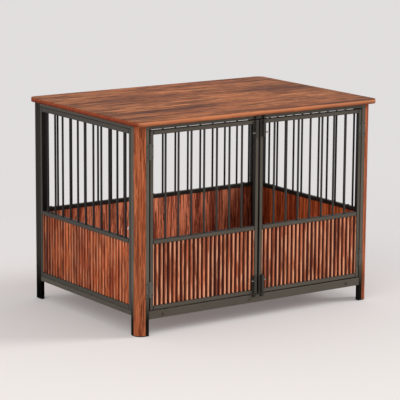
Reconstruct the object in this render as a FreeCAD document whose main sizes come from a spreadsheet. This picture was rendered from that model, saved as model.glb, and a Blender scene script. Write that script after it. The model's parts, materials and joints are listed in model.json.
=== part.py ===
"""Dog crate end table: a walnut tabletop over a steel crate with two barred front doors.

The front faces -Y, +X is to its right and +Z is up.  The origin is on the floor under the middle
of the tabletop.  All sizes are in millimetres.
"""
import FreeCAD, Part
import os

from FreeCAD import Placement, Rotation, Vector

# Driving dimensions: name, size and what it measures.
DIMENSIONS = (
    ("overall_width", 950, "tabletop, left to right"),
    ("overall_depth", 660, "tabletop, front to back"),
    ("overall_height", 680, "floor to the tabletop's upper face"),
    ("top_thickness", 14, "tabletop"),
    ("top_overhang", 16, "tabletop beyond the frame on every side"),
    ("top_corner", 28, "radius of the tabletop's corners in plan"),
    ("top_edge", 1.5, "rounding of the tabletop's upper and lower edges"),
    ("post_radius", 27, "quarter-round wooden corner posts"),
    ("foot_height", 3, "black pads under the legs"),
    ("foot_edge", 1, "rounding at the bottom of the pads"),
    ("tube_width", 13, "narrow side of the frame tube"),
    ("tube_depth", 16, "wide side of the frame tube"),
    ("tube_wall", 1.2, "wall of every steel tube"),
    ("tube_round", 1.8, "outer corner radius of every steel tube"),
    ("base_rail_top", 79.5, "upper face of the lower frame rails"),
    ("base_rail_height", 26, "front and back lower rails"),
    ("stile_width", 13, "uprights of the doors and the side panels"),
    ("back_stile_width", 26, "uprights of the back panel"),
    ("panel_rail_height", 14, "middle rails, and the doors' upper and lower rails"),
    ("side_rail_height", 16.5, "upper and lower rails of the side and back panels"),
    ("middle_rail_top", 305.5, "upper face of the middle rails"),
    ("door_gap", 2.5, "between a door and its post"),
    ("door_end_gap", 3, "between a door and the rails above and below it"),
    ("centre_gap", 5, "between the two doors"),
    ("bar_diameter", 7, "round bars"),
    ("door_bar_count", 7, "bars in each door"),
    ("side_bar_count", 11, "bars in each side"),
    ("side_bar_pitch", 47.2, "bar to bar in the sides"),
    ("back_bar_count", 16, "bars in the back"),
    ("back_bar_pitch", 52.5, "bar to bar in the back"),
    ("back_bar_start", 44, "left back stile to the first bar's centre"),
    ("board_thickness", 10, "wooden infill boards"),
    ("board_recess", 1.5, "board behind the outer face of its frame"),
    ("flute_radius", 5.6, "round groove between two ridges"),
    ("flute_centre", 0.9, "groove's axis in front of the board's face"),
    ("door_flute_count", 24, "grooves in each door board"),
    ("side_flute_count", 31, "grooves in each side board"),
    ("floor_thickness", 7, "floor board"),
    ("floor_clearance", 1, "around the floor board"),
    ("support_width", 25, "bars under the floor board"),
    ("support_height", 13, "bars under the floor board"),
    ("support_solid", 14, "solid ends of the floor supports"),
    ("support_grip", 12, "depth of a screw in a floor support"),
    ("support_spread", 366, "outer floor supports from the middle"),
    ("support_middle", -30.5, "middle floor support, left of the lower bolts"),
    ("tab_length", 24, "tabletop tabs along their rail"),
    ("tab_width", 20, "tabletop tabs out from their rail"),
    ("tab_thickness", 2, "tabletop tabs"),
    ("tab_front", -140, "front pair of side tabs"),
    ("tab_rear", 150, "rear pair of side tabs"),
    ("hinge_height", 49, "butt hinges"),
    ("hinge_low", 149, "centre of the lower hinges"),
    ("hinge_high", 584, "centre of the upper hinges"),
    ("leaf_thickness", 1.5, "hinge leaves, bolt guides and keepers"),
    ("leaf_width", 13, "hinge axis to the edge of a leaf"),
    ("knuckle_radius", 2.9, "hinge barrel"),
    ("knuckle_height", 17, "outer segments of the hinge barrel"),
    ("knuckle_gap", 0.4, "between moving hinge pieces"),
    ("knuckle_reach", 3, "hinge axis in front of the frame's face"),
    ("pin_radius", 1.5, "hinge pin"),
    ("pin_clearance", 0.05, "between a pin and its hole"),
    ("pin_head_radius", 2.2, "head of the hinge pin"),
    ("pin_head_height", 1.2, "head of the hinge pin"),
    ("leaf_screw_end", 7, "hinge screws from the ends of their leaf"),
    ("leaf_screw_edge", 4, "hinge screws from the side of their leaf"),
    ("bolt_offset", 15.5, "slide bolts from the middle"),
    ("bolt_radius", 2.6, "rod of a slide bolt"),
    ("bolt_clearance", 0.1, "between a rod and its guide"),
    ("bolt_lift", 4.4, "rod's axis in front of the door"),
    ("bolt_travel", 14, "from withdrawn to engaged"),
    ("bolt_setback", 1.5, "withdrawn rod's tip inside the door's edge"),
    ("guide_width", 18, "guide plate and keeper plate"),
    ("guide_setback", 2.5, "end of the guide inside the door's edge"),
    ("guide_corner", 5, "rounded corners of a guide plate"),
    ("barrel_width", 8.8, "raised middle of the guide"),
    ("barrel_reach", 8.5, "front of the guide from the door"),
    ("barrel_round", 2.5, "long edges of the raised middle"),
    ("lower_guide_length", 58, "guide of a lower bolt"),
    ("upper_guide_length", 53, "guide of an upper bolt"),
    ("lower_knob", 43.3, "lower knob from the door's edge, withdrawn"),
    ("upper_knob", 41.5, "upper knob from the door's edge, withdrawn"),
    ("knob_radius", 2.4, "knob of a slide bolt"),
    ("knob_reach", 13, "knob's end from the rod's axis"),
    ("knob_play", 1, "slot beyond the knob at each end"),
    ("knob_clearance", 0.3, "slot in front of and behind the knob"),
    ("bolt_tail", 6, "rod beyond its knob"),
    ("keeper_bore", 3.1, "radius of the keeper's hole"),
    ("keeper_gap", 1, "keeper from the edge of its rail"),
    ("lower_keeper_height", 6, "keeper on the bottom rail"),
    ("upper_keeper_height", 9, "keeper on the top rail"),
    ("keeper_corner", 2, "rounded corners of a keeper plate"),
    ("plate_screw_edge", 2.4, "guide and keeper screws from the side of their plate"),
    ("guide_screw_end", 5, "guide screws from the ends of their plate"),
    ("small_screw", 1.2, "shank radius of hinge and bolt screws"),
    ("small_head", 1.8, "head radius of hinge and bolt screws"),
    ("small_head_height", 0.9, "head of hinge and bolt screws"),
    ("small_length", 6, "shank of hinge and bolt screws"),
    ("frame_screw", 2, "shank radius of frame screws"),
    ("frame_head", 4.8, "head radius of frame screws"),
    ("frame_head_height", 2.6, "head of frame screws"),
    ("board_head", 4, "head radius of the door boards' screws"),
    ("board_head_height", 1.4, "head of the door boards' screws"),
    ("wood_grip", 12, "depth of a screw in wood"),
    ("top_grip", 10, "depth of a screw in the tabletop"),
    ("post_screw_spacing", 240, "between screws in a corner post"),
    ("side_screw_flute", 3, "flutes from the end of a side board to its screw"),
    ("back_screw_left", -404, "middle-rail screws of the back"),
    ("back_screw_middle", 5, "middle-rail screws of the back"),
    ("back_screw_right", 388, "middle-rail screws of the back"),
    ("door_screw_flutes", 9, "flutes between two screws of a door board"),
    ("panel_bolt_height", 337, "bolts that join the side panels to the corner posts"),
    ("panel_bolt_radius", 2.5, "panel bolt shank"),
    ("panel_nut_radius", 5, "domed head of a panel bolt"),
    ("panel_nut_height", 9, "domed head of a panel bolt"),
    ("washer_radius", 6, "black washer under a panel bolt's head"),
    ("washer_thickness", 1.6, "black washer under a panel bolt's head"),
    ("hole_clearance", 0.1, "between a fixed screw and its hole"),
)

doc = FreeCAD.newDocument("dog_crate_end_table")
dims = doc.addObject("Spreadsheet::Sheet", "dims")
for row, (alias, size, meaning) in enumerate(DIMENSIONS, start=1):
    dims.set(f"A{row}", meaning)
    dims.set(f"B{row}", str(size))
    dims.setAlias(f"B{row}", alias)
doc.recompute()

# Places worked out from the driving dimensions, as expressions on the sheet.
SIDE = "(dims.overall_width / 2 - dims.top_overhang)"
FRONT = "(-dims.overall_depth / 2 + dims.top_overhang)"
BACK = "(dims.overall_depth / 2 - dims.top_overhang)"
TOP = "(dims.overall_height - dims.top_thickness)"
WALL = "dims.tube_wall"
SIDE_INNER = f"({SIDE} - dims.tube_width)"
FRONT_INNER = f"({FRONT} + dims.tube_depth)"
BACK_INNER = f"({BACK} - dims.tube_depth)"
POST_OUT = f"({SIDE} - dims.post_radius)"
POST_IN = f"({POST_OUT} - dims.tube_width)"
POST_BACK = f"({FRONT} + dims.post_radius)"
LEG_BACK = f"({POST_BACK} + dims.tube_depth)"
REAR_LEG = f"({BACK_INNER} - dims.tube_depth)"
TOP_RAIL = f"({TOP} - dims.tube_width)"
BASE_TOP = "dims.base_rail_top"
BASE_LOW = "(dims.base_rail_top - dims.base_rail_height)"
SIDE_BASE_LOW = "(dims.base_rail_top - dims.tube_depth)"
MIDDLE_TOP = "dims.middle_rail_top"
MIDDLE_LOW = "(dims.middle_rail_top - dims.panel_rail_height)"
SIDE_RAIL_LOW = f"({TOP_RAIL} - dims.side_rail_height)"
SIDE_BOARD_LOW = f"({BASE_TOP} + dims.side_rail_height)"
SIDE_STILE = f"({LEG_BACK} + dims.stile_width)"
SIDE_STILE_REAR = f"({REAR_LEG} - dims.stile_width)"
BACK_PANEL_FACE = f"({BACK} - dims.tube_width)"
BACK_STILE = f"({SIDE_INNER} - dims.back_stile_width)"
DOOR_HINGE_EDGE = f"({POST_IN} - dims.door_gap)"
DOOR_FREE_EDGE = "(dims.centre_gap / 2)"
DOOR_STILE_HINGE = f"({DOOR_HINGE_EDGE} - dims.stile_width)"
DOOR_STILE_FREE = f"({DOOR_FREE_EDGE} + dims.stile_width)"
DOOR_LOW = f"({BASE_TOP} + dims.door_end_gap)"
DOOR_TOP = f"({TOP_RAIL} - dims.door_end_gap)"
DOOR_BACK = f"({FRONT} + dims.tube_width)"
DOOR_BOARD_LOW = f"({DOOR_LOW} + dims.panel_rail_height)"
DOOR_RAIL_LOW = f"({DOOR_TOP} - dims.panel_rail_height)"
HINGE_AXIS_X = f"({POST_IN} - dims.door_gap / 2)"
HINGE_AXIS_Y = f"({FRONT} - dims.knuckle_reach)"
BOLT_AXIS_Y = f"({FRONT} - dims.bolt_lift)"
LEAF_FACE = f"({FRONT} - dims.leaf_thickness)"
FLOOR_LOW = "(dims.base_rail_top - dims.floor_thickness)"
SUPPORT_LOW = f"({FLOOR_LOW} - dims.support_height)"
SUPPORT_MIDDLE_Z = f"({SUPPORT_LOW} + dims.support_height / 2)"
SUPPORT_X = ("-dims.support_spread", "dims.support_middle", "dims.support_spread")
FRONT_MIDDLE = f"({FRONT} + dims.tube_depth / 2)"

AXES = "xyz"
SIDES = ("Length", "Width", "Height")
ALONG = {"x": Rotation(Vector(0, 1, 0), 90), "y": Rotation(Vector(1, 0, 0), -90), "z": Rotation()}
BACKWARD = {"x": Rotation(Vector(0, 1, 0), -90), "y": Rotation(Vector(1, 0, 0), 90),
            "z": Rotation(Vector(1, 0, 0), 180)}
nodes = []


def place(piece, corner):
    """Bind a piece's position to three expressions."""
    for axis, expression in zip(AXES, corner):
        piece.setExpression(f"Placement.Base.{axis}", expression)


def between(piece, x, y, z):
    """Stretch a box between two expressions on each axis."""
    for side, (low, high) in zip(SIDES, (x, y, z)):
        piece.setExpression(side, f"({high}) - ({low})")


def block(name, x, y, z):
    """A plain block between two places on each axis."""
    piece = doc.addObject("Part::Box", name)
    between(piece, x, y, z)
    place(piece, (x[0], y[0], z[0]))
    return piece


def rod(name, axis, span, across, radius):
    """A round rod along one axis; across gives its place on the other two axes, in order."""
    piece = doc.addObject("Part::Cylinder", name)
    piece.Placement = Placement(Vector(), ALONG[axis])
    piece.setExpression("Radius", radius)
    piece.setExpression("Height", f"({span[1]}) - ({span[0]})")
    corner = list(across)
    corner.insert(AXES.index(axis), span[0])
    place(piece, corner)
    return piece


def edges_along(shape, axis):
    """Names of a shape's straight edges that run along an axis."""
    names = []
    for number, edge in enumerate(shape.Edges, start=1):
        if abs(getattr(edge.tangentAt(edge.FirstParameter), axis)) > 0.99:
            names.append(f"Edge{number}")
    return names


def edges_at(shape, height):
    """Names of a shape's edges that lie wholly at one height."""
    names = []
    for number, edge in enumerate(shape.Edges, start=1):
        box = edge.BoundBox
        if abs(box.ZMin - height) < 0.01 and abs(box.ZMax - height) < 0.01:
            names.append(f"Edge{number}")
    return names


def rounded(body, feature, edges, radius):
    """Round the named edges of a body's latest feature."""
    fillet = body.newObject("PartDesign::Fillet", body.Name + "_round")
    fillet.Base = (feature, edges)
    fillet.setExpression("Radius", radius)
    return fillet


def rounded_block(name, x, y, z, axis, radius):
    """A block whose four edges along one axis are rounded."""
    body = doc.addObject("PartDesign::Body", name)
    solid = body.newObject("PartDesign::AdditiveBox", name + "_block")
    between(solid, x, y, z)
    solid.recompute()
    rounded(body, solid, edges_along(solid.Shape, axis), radius)
    place(body, (x[0], y[0], z[0]))
    return body


def group(name, pieces):
    """Several pieces as one object, each still a solid of its own."""
    whole = doc.addObject("Part::Compound", name)
    whole.Links = pieces
    return whole


def cut(name, base, tools):
    """The base with every tool taken out of it."""
    result = doc.addObject("Part::Cut", name)
    result.Base = base
    result.Tool = tools[0] if len(tools) == 1 else group(name + "_tools", tools)
    return result


def joined(name, pieces):
    """Several overlapping pieces fused into one solid."""
    result = doc.addObject("Part::MultiFuse", name)
    result.Shapes = pieces
    result.Refine = True
    return result


def mirrored(name, source):
    """The same piece on the other side of the middle plane."""
    result = doc.addObject("Part::Mirroring", name)
    result.Source = source
    result.Normal = (1, 0, 0)
    return result


def copies(name, master, places, turn=Rotation()):
    """The master repeated at each place, as separate solids."""
    links = []
    for number, corner in enumerate(places, start=1):
        link = doc.addObject("App::Link", f"{name}_{number}")
        link.LinkedObject = master
        link.Placement = Placement(Vector(), turn)
        place(link, corner)
        links.append(link)
    return links


def node(piece, label):
    """Give a finished sub-part the name that its file gets."""
    piece.Label = label
    nodes.append(piece)
    return piece


def hole(name, axis, span, across, shank):
    """A screw's hole, a little wider than its shank."""
    return rod(name, axis, span, across, f"{shank} + dims.hole_clearance")


def tube(name, x, y, z, axis, holes=()):
    """A closed rectangular steel tube along one axis, with rounded edges and drilled holes."""
    outer = rounded_block(name + "_outer", x, y, z, axis, "dims.tube_round")
    void = block(name + "_void", *[(f"{low} + {WALL}", f"{high} - {WALL}") for low, high in (x, y, z)])
    return cut(name, outer, [void, *holes])


def pair(label, left):
    """A left piece and its mirror image, as two nodes."""
    node(left, "left_" + label)
    node(mirrored("right_" + label, left), "right_" + label)


def minus(expression):
    """The same distance on the left of the middle."""
    return f"-({expression})"


def screw(name, shank, length, head, head_height):
    """A pan-head screw, its head's underside at the origin and its shank along +Z."""
    body = doc.addObject("PartDesign::Body", name)
    pin = body.newObject("PartDesign::AdditiveCylinder", name + "_shank")
    pin.setExpression("Radius", shank)
    pin.setExpression("Height", length)
    cap = body.newObject("PartDesign::AdditiveCylinder", name + "_head")
    cap.setExpression("Radius", head)
    cap.setExpression("Height", head_height)
    cap.setExpression("Placement.Base.z", f"-({head_height})")
    pin.recompute()
    cap.recompute()
    top = -dims.evalExpression(head_height)
    rounded(body, cap, edges_at(cap.Shape, top), f"min({head_height}; {head}) * 0.6")
    return body


# Screws -------------------------------------------------------------------------------------------

small_screw = screw("small_screw_master", "dims.small_screw", "dims.small_length",
                    "dims.small_head", "dims.small_head_height")
rail_screw = screw("rail_screw_master", "dims.frame_screw",
                   "dims.panel_rail_height + dims.wood_grip",
                   "dims.frame_head", "dims.frame_head_height")
support_screw = screw("support_screw_master", "dims.frame_screw",
                      "dims.tube_depth + dims.support_grip",
                      "dims.frame_head", "dims.frame_head_height")
top_screw = screw("top_screw_master", "dims.frame_screw", "dims.tab_thickness + dims.top_grip",
                  "dims.frame_head", "dims.frame_head_height")
post_screw = screw("post_screw_master", "dims.frame_screw", "dims.tube_width + dims.wood_grip",
                   "dims.board_head", "dims.board_head_height")
door_screw = screw("door_screw_master", "dims.frame_screw",
                   "dims.panel_rail_height + dims.wood_grip",
                   "dims.board_head", "dims.board_head_height")
panel_bolt = screw("panel_bolt_master", "dims.panel_bolt_radius",
                   "dims.washer_thickness + dims.stile_width + dims.tube_depth + dims.wood_grip",
                   "dims.panel_nut_radius", "dims.panel_nut_height")

# Where the screws go: on the left, at the front, or both.
POST_SCREW_HEIGHTS = [f"{TOP} / 2 + {step} * dims.post_screw_spacing" for step in (-1, 0, 1)]
HINGE_HEIGHTS = ("dims.hinge_low", "dims.hinge_high")
HINGE_SCREW_RISE = "(dims.hinge_height / 2 - dims.leaf_screw_end)"
HINGE_SCREW_RISES = (f"-{HINGE_SCREW_RISE}", HINGE_SCREW_RISE)
HINGE_SCREW_HEIGHTS = [f"{centre} + {rise}" for centre in HINGE_HEIGHTS for rise in HINGE_SCREW_RISES]
LEAF_SCREW = "(dims.leaf_width - dims.leaf_screw_edge)"
PLATE_SCREW = "(dims.guide_width / 2 - dims.plate_screw_edge)"
GUIDE_SCREW_X = f"-dims.bolt_offset + {PLATE_SCREW}"
KEEPER_SCREW_X = (GUIDE_SCREW_X, f"-dims.bolt_offset - {PLATE_SCREW}")
LOWER_KEEPER = (f"{BASE_TOP} - dims.keeper_gap - dims.lower_keeper_height",
                f"{BASE_TOP} - dims.keeper_gap")
UPPER_KEEPER = (f"{TOP_RAIL} + dims.keeper_gap",
                f"{TOP_RAIL} + dims.keeper_gap + dims.upper_keeper_height")
KEEPER_MIDDLES = [f"(({low}) + ({high})) / 2" for low, high in (LOWER_KEEPER, UPPER_KEEPER)]
GUIDE_SCREW_HEIGHTS = {
    "lower": [f"{DOOR_LOW} + dims.guide_setback + {rise}"
              for rise in ("dims.guide_screw_end", "dims.lower_guide_length - dims.guide_screw_end")],
    "upper": [f"{DOOR_TOP} - dims.guide_setback - ({drop})"
              for drop in ("dims.guide_screw_end", "dims.upper_guide_length - dims.guide_screw_end")],
}
SIDE_MIDDLE_X = f"({SIDE} - dims.tube_width / 2)"
SIDE_FLUTE_PITCH = f"(({SIDE_STILE_REAR} - {SIDE_STILE}) / dims.side_flute_count)"
SIDE_SCREW_Y = (f"{SIDE_STILE} + dims.side_screw_flute * {SIDE_FLUTE_PITCH}",
                f"{SIDE_STILE_REAR} - dims.side_screw_flute * {SIDE_FLUTE_PITCH}")
BACK_PANEL_MIDDLE = f"({BACK} - dims.tube_width / 2)"
BACK_SCREW_X = ("dims.back_screw_left", "dims.back_screw_middle", "dims.back_screw_right")
DOOR_MIDDLE = f"(({DOOR_HINGE_EDGE} + {DOOR_FREE_EDGE}) / 2)"
DOOR_MIDDLE_Y = f"({FRONT} + dims.tube_width / 2)"
DOOR_FLUTE_PITCH = f"(({DOOR_STILE_HINGE} - {DOOR_STILE_FREE}) / dims.door_flute_count)"
DOOR_SCREW_STEP = f"dims.door_screw_flutes * {DOOR_FLUTE_PITCH}"
DOOR_SCREW_X = [f"-{DOOR_MIDDLE} + {step} * {DOOR_SCREW_STEP}" for step in (-1, 0, 1)]
RAIL_GRIP = (MIDDLE_LOW + " - dims.wood_grip", MIDDLE_TOP)

# Tabletop -----------------------------------------------------------------------------------------

top_body = rounded_block("top_body",
                         ("-dims.overall_width / 2", "dims.overall_width / 2"),
                         ("-dims.overall_depth / 2", "dims.overall_depth / 2"),
                         (TOP, "dims.overall_height"), "z", "dims.top_corner")
top_corners = top_body.Group[-1]
top_corners.recompute()
top_edges = []
for level in (0, dims.evalExpression("dims.top_thickness")):
    top_edges += edges_at(top_corners.Shape, level)
rounded(top_body, top_corners, top_edges, "dims.top_edge")

TAB_PLACES = [(f"{side} * ({SIDE_INNER} - dims.tab_width / 2)", along)
              for side in (-1, 1) for along in ("dims.tab_front", "dims.tab_rear")]
TAB_PLACES += [("0", f"{FRONT_INNER} + dims.tab_width / 2"), ("0", f"{BACK_INNER} - dims.tab_width / 2")]
TAB_LOW = f"({TOP} - dims.tab_thickness)"
TOP_GRIP = (TAB_LOW, f"{TOP} + dims.top_grip")
top_holes = [hole(f"top_hole_{number}", "z", TOP_GRIP, spot, "dims.frame_screw")
             for number, spot in enumerate(TAB_PLACES)]
node(cut("tabletop", top_body, top_holes), "tabletop")

tabs = []
for number, (x, y) in enumerate(TAB_PLACES):
    on_side = number < 4
    half_x = "dims.tab_width / 2" if on_side else "dims.tab_length / 2"
    half_y = "dims.tab_length / 2" if on_side else "dims.tab_width / 2"
    plate = block(f"tab_plate_{number}", (f"{x} - {half_x}", f"{x} + {half_x}"),
                  (f"{y} - {half_y}", f"{y} + {half_y}"), (TAB_LOW, TOP))
    drill = hole(f"tab_hole_{number}", "z", (TAB_LOW, TOP), (x, y), "dims.frame_screw")
    tabs.append(cut(f"tab_{number}", plate, [drill]))
node(group("tabletop_tabs", tabs), "tabletop_tabs")
tabletop_screws = copies("tabletop_screw", top_screw, [(x, y, TAB_LOW) for x, y in TAB_PLACES])
node(group("tabletop_screws", tabletop_screws), "tabletop_screws")

# Wooden corner posts ------------------------------------------------------------------------------


def quarter_round(name, span):
    """A quarter-round length of wood or pad at the front left corner."""
    body = doc.addObject("PartDesign::Body", name)
    solid = body.newObject("PartDesign::AdditiveCylinder", name + "_quarter")
    solid.setExpression("Radius", "dims.post_radius")
    solid.setExpression("Height", f"({span[1]}) - ({span[0]})")
    solid.Angle = 90
    body.Placement = Placement(Vector(), Rotation(Vector(0, 0, 1), 180))
    place(body, (minus(POST_OUT), POST_BACK, span[0]))
    return body


post_holes = [hole(f"post_hole_{number}", "x", (f"-{POST_OUT} - dims.wood_grip", f"-{POST_OUT}"),
                   (FRONT_MIDDLE, height), "dims.frame_screw")
              for number, height in enumerate(POST_SCREW_HEIGHTS)]
post_holes.append(hole("post_bolt_hole", "y", (f"{POST_BACK} - dims.wood_grip", POST_BACK),
                       (minus(SIDE_MIDDLE_X), "dims.panel_bolt_height"), "dims.panel_bolt_radius"))
post_wood = quarter_round("post_wood", ("dims.foot_height", TOP))
pair("corner_post", cut("left_corner_post", post_wood, post_holes))
post_screw_places = [(minus(POST_IN), FRONT_MIDDLE, height) for height in POST_SCREW_HEIGHTS]
left_post_screws = group("left_post_screws",
                         copies("post_screw", post_screw, post_screw_places, BACKWARD["x"]))
node(group("corner_post_screws", [left_post_screws, mirrored("right_post_screws", left_post_screws)]),
     "corner_post_screws")

# Front frame --------------------------------------------------------------------------------------

LEG = ("dims.foot_height", TOP)
front_post_holes = [hole(f"front_post_hole_{number}", "x", (minus(POST_OUT), minus(POST_IN)),
                         (FRONT_MIDDLE, height), "dims.frame_screw")
                    for number, height in enumerate(POST_SCREW_HEIGHTS)]
front_post_holes += [hole(f"front_leaf_hole_{number}", "y", (FRONT, f"{FRONT} + 2 * {WALL}"),
                          (f"-{HINGE_AXIS_X} - {LEAF_SCREW}", height), "dims.small_screw")
                     for number, height in enumerate(HINGE_SCREW_HEIGHTS)]
pair("front_post", tube("left_front_post", (minus(POST_OUT), minus(POST_IN)), (FRONT, FRONT_INNER), LEG,
                        "z", front_post_holes))


def keeper_holes(level, height):
    """Holes in a front rail for the keepers' screws."""
    return [hole(f"{level}_keeper_hole_{number}", "y", (FRONT, f"{FRONT} + 2 * {WALL}"), (x, height),
                 "dims.small_screw")
            for number, x in enumerate([*KEEPER_SCREW_X, *[minus(x) for x in KEEPER_SCREW_X]])]


node(tube("front_top_rail", (minus(POST_IN), POST_IN), (FRONT, FRONT_INNER), (TOP_RAIL, TOP), "x",
          keeper_holes("upper", KEEPER_MIDDLES[1])), "front_top_rail")
support_holes = [hole(f"front_support_hole_{number}", "y", (FRONT, FRONT_INNER), (x, SUPPORT_MIDDLE_Z),
                      "dims.frame_screw") for number, x in enumerate(SUPPORT_X)]
node(tube("front_bottom_rail", (minus(POST_IN), POST_IN), (FRONT, FRONT_INNER), (BASE_LOW, BASE_TOP), "x",
          keeper_holes("lower", KEEPER_MIDDLES[0]) + support_holes), "front_bottom_rail")

# Side frames --------------------------------------------------------------------------------------

SIDE_X = (minus(SIDE), minus(SIDE_INNER))
FRONT_LEG_Y = (POST_BACK, LEG_BACK)
REAR_LEG_Y = (REAR_LEG, BACK_INNER)
FRONT_STILE_Y = (LEG_BACK, SIDE_STILE)
REAR_STILE_Y = (SIDE_STILE_REAR, REAR_LEG)
PANEL_BOLT_SPOT = (minus(SIDE_MIDDLE_X), "dims.panel_bolt_height")


def bolt_hole(name, span):
    """The hole of the panel bolt through part of the left side's front end."""
    return hole(name, "y", span, PANEL_BOLT_SPOT, "dims.panel_bolt_radius")


pair("side_legs", group("left_side_legs", [
    tube("left_front_leg", SIDE_X, FRONT_LEG_Y, LEG, "z", [bolt_hole("front_leg_hole", FRONT_LEG_Y)]),
    tube("left_rear_leg", SIDE_X, REAR_LEG_Y, LEG, "z"),
]))
side_rails = []
for level, span in (("top", (TOP_RAIL, TOP)), ("bottom", (SIDE_BASE_LOW, BASE_TOP))):
    side_rails.append(tube(f"left_{level}_rail", SIDE_X, (LEG_BACK, REAR_LEG), span, "y"))
pair("side_rails", group("left_side_rails", side_rails))

side_panel = [
    tube("side_front_stile", SIDE_X, FRONT_STILE_Y, (BASE_TOP, TOP_RAIL), "z",
         [bolt_hole("front_stile_hole", FRONT_STILE_Y)]),
    tube("side_rear_stile", SIDE_X, REAR_STILE_Y, (BASE_TOP, TOP_RAIL), "z"),
]
side_screw_holes = [hole(f"side_rail_hole_{number}", "z", RAIL_GRIP, (minus(SIDE_MIDDLE_X), y),
                         "dims.frame_screw") for number, y in enumerate(SIDE_SCREW_Y)]
for level, span, drilled in (("low", (BASE_TOP, SIDE_BOARD_LOW), []),
                             ("middle", (MIDDLE_LOW, MIDDLE_TOP), side_screw_holes),
                             ("high", (SIDE_RAIL_LOW, TOP_RAIL), [])):
    side_panel.append(tube(f"side_{level}_rail", SIDE_X, (SIDE_STILE, SIDE_STILE_REAR), span, "y", drilled))
pair("side_infill_frame", group("left_side_infill_frame", side_panel))

# Back frame ---------------------------------------------------------------------------------------

BACK_RAIL_X = (minus(SIDE_INNER), SIDE_INNER)
BACK_RAIL_Y = (BACK_INNER, BACK)
back_leg = tube("left_back_leg", SIDE_X, BACK_RAIL_Y, LEG, "z")
node(group("back_legs", [back_leg, mirrored("right_back_leg", back_leg)]), "back_legs")
back_support_holes = [hole(f"back_support_hole_{number}", "y", BACK_RAIL_Y, (x, SUPPORT_MIDDLE_Z),
                           "dims.frame_screw") for number, x in enumerate(SUPPORT_X)]
back_rails = []
for level, span, drilled in (("top", (TOP_RAIL, TOP), []),
                             ("bottom", (BASE_LOW, BASE_TOP), back_support_holes)):
    back_rails.append(tube(f"back_{level}_rail", BACK_RAIL_X, BACK_RAIL_Y, span, "x", drilled))
node(group("back_rails", back_rails), "back_rails")

BACK_PANEL_Y = (BACK_PANEL_FACE, BACK)
back_stile = tube("left_back_stile", (minus(SIDE_INNER), minus(BACK_STILE)), BACK_PANEL_Y,
                  (BASE_TOP, TOP_RAIL), "z")
back_panel = [back_stile, mirrored("right_back_stile", back_stile)]
back_screw_holes = [hole(f"back_rail_hole_{number}", "z", RAIL_GRIP, (x, BACK_PANEL_MIDDLE),
                         "dims.frame_screw") for number, x in enumerate(BACK_SCREW_X)]
for level, span, drilled in (("low", (BASE_TOP, SIDE_BOARD_LOW), []),
                             ("middle", (MIDDLE_LOW, MIDDLE_TOP), back_screw_holes),
                             ("high", (SIDE_RAIL_LOW, TOP_RAIL), [])):
    back_panel.append(tube(f"back_{level}_panel_rail", (minus(BACK_STILE), BACK_STILE), BACK_PANEL_Y, span,
                           "x", drilled))
node(group("back_infill_frame", back_panel), "back_infill_frame")

# Bars ---------------------------------------------------------------------------------------------


def bars(name, count, spots, height):
    """A row of upright round bars; spots gives the place of bar number i."""
    total = round(dims.evalExpression(count))
    return group(name, [rod(f"{name}_{i}", "z", height, spots(i), "dims.bar_diameter / 2")
                        for i in range(total)])


SIDE_BARS_MIDDLE = f"(({SIDE_STILE} + {SIDE_STILE_REAR}) / 2)"
pair("side_bars", bars(
    "left_side_bars", "dims.side_bar_count",
    lambda i: (minus(SIDE_MIDDLE_X),
               f"{SIDE_BARS_MIDDLE} + ({i} - (dims.side_bar_count - 1) / 2) * dims.side_bar_pitch"),
    (MIDDLE_TOP, SIDE_RAIL_LOW)))
node(bars("back_bars", "dims.back_bar_count",
          lambda i: (f"-{BACK_STILE} + dims.back_bar_start + {i} * dims.back_bar_pitch", BACK_PANEL_MIDDLE),
          (MIDDLE_TOP, SIDE_RAIL_LOW)), "back_bars")
DOOR_BAR_PITCH = f"(({DOOR_STILE_HINGE} - {DOOR_STILE_FREE}) / (dims.door_bar_count + 1))"
pair("door_bars", bars(
    "left_door_bars", "dims.door_bar_count",
    lambda i: (f"-{DOOR_STILE_HINGE} + ({i} + 1) * {DOOR_BAR_PITCH}", DOOR_MIDDLE_Y),
    (MIDDLE_TOP, DOOR_RAIL_LOW)))

# Wooden boards ------------------------------------------------------------------------------------


def fluted_board(name, width, height, count, corner, turn):
    """An upright board with round grooves in its face, its face on the XZ plane facing -Y."""
    body = doc.addObject("PartDesign::Body", name)
    slab = body.newObject("PartDesign::AdditiveBox", name + "_slab")
    slab.setExpression("Length", width)
    slab.setExpression("Width", "dims.board_thickness")
    slab.setExpression("Height", height)
    flute = body.newObject("PartDesign::SubtractiveCylinder", name + "_flute")
    flute.setExpression("Radius", "dims.flute_radius")
    flute.setExpression("Height", height)
    flute.setExpression("Placement.Base.x", f"({width}) / {count} / 2")
    flute.setExpression("Placement.Base.y", "-dims.flute_centre")
    row = body.newObject("PartDesign::LinearPattern", name + "_flutes")
    row.Originals = [flute]
    row.Direction = (next(axis for axis in body.Origin.OriginFeatures if axis.Role == "X_Axis"), [""])
    row.Mode = "Spacing"
    row.setExpression("Offset", f"({width}) / {count}")
    row.setExpression("Occurrences", count)
    body.Tip = row
    body.Placement = Placement(Vector(), turn)
    place(body, corner)
    return body


QUARTER_TURN = Rotation(Vector(0, 0, 1), -90)
side_board = fluted_board("side_board_body", f"{SIDE_STILE_REAR} - {SIDE_STILE}",
                          f"{MIDDLE_LOW} - {SIDE_BOARD_LOW}", "dims.side_flute_count",
                          (f"-{SIDE} + dims.board_recess", SIDE_STILE_REAR, SIDE_BOARD_LOW), QUARTER_TURN)
side_board_holes = [hole(f"side_board_hole_{number}", "z", RAIL_GRIP, (minus(SIDE_MIDDLE_X), y),
                         "dims.frame_screw") for number, y in enumerate(SIDE_SCREW_Y)]
pair("side_board", cut("left_side_board", side_board, side_board_holes))

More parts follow.
